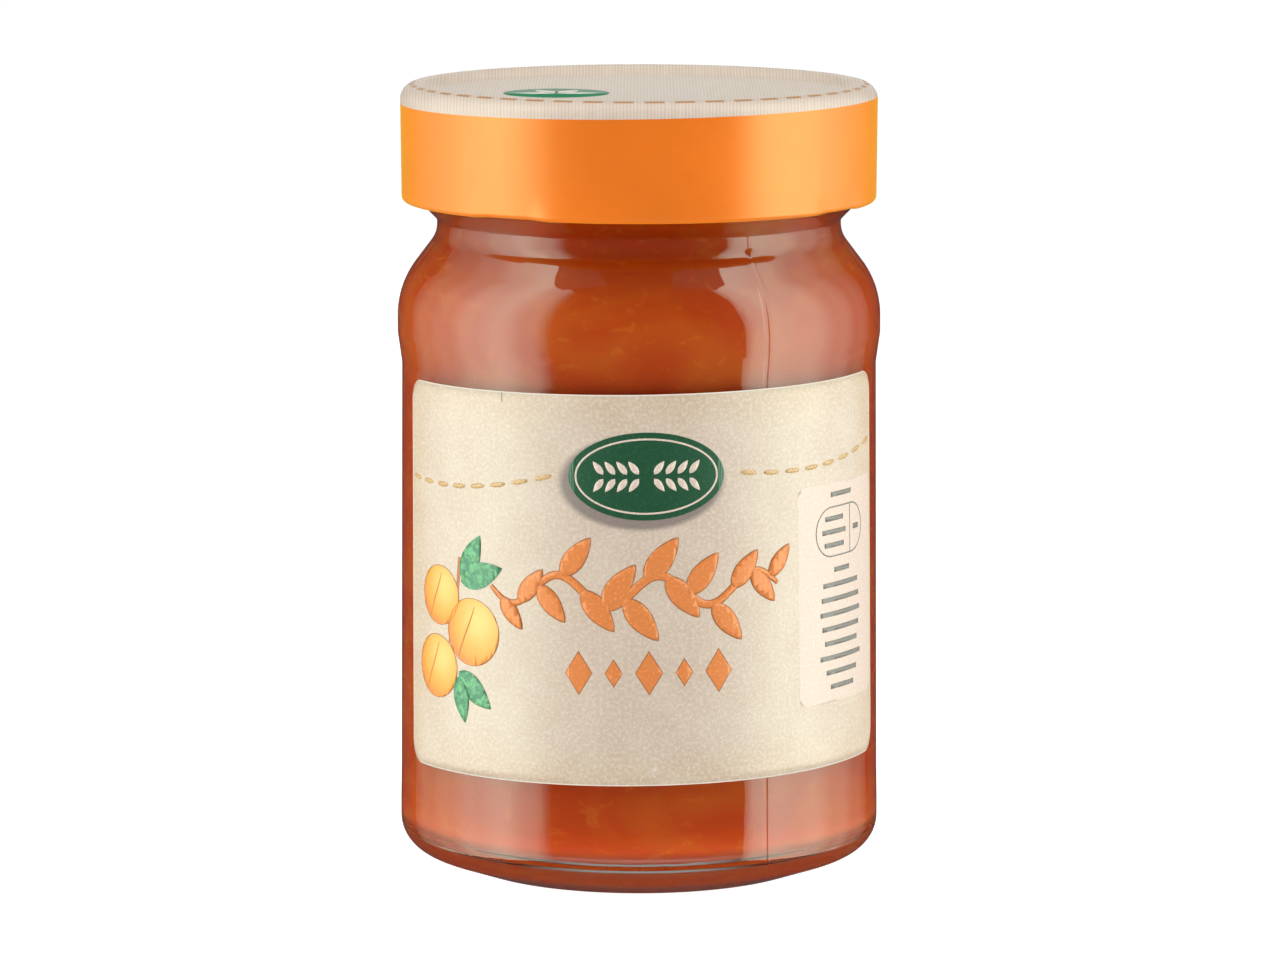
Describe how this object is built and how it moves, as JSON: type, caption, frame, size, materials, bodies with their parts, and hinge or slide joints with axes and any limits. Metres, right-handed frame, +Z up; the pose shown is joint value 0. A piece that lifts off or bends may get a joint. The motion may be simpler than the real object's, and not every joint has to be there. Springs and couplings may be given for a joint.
{
  "type": "jam jar",
  "caption": "Round clear glass jar of amber fruit jam with a rounded shoulder, a narrow neck groove, a deep orange twist-off lid with a raised rim, and a kraft paper label round the front",
  "frame": {"origin": "Centre of the jar's base on its turning axis, at the height of the surface it stands on", "axes": "+Z up along the jar's turning axis; -Y is the front, where the middle of the label faces; +X is to the right seen from the front"},
  "size_m": [0.0732, 0.0732, 0.1192],
  "materials": {
    "glass": "gloss",
    "jam": "gloss",
    "lid": "satin",
    "label": "matte"
  },
  "bodies": {
    "root": {"glass_jar": "glass", "jam": "jam", "lid": "lid", "label": "label"}
  },
  "joints": []
}
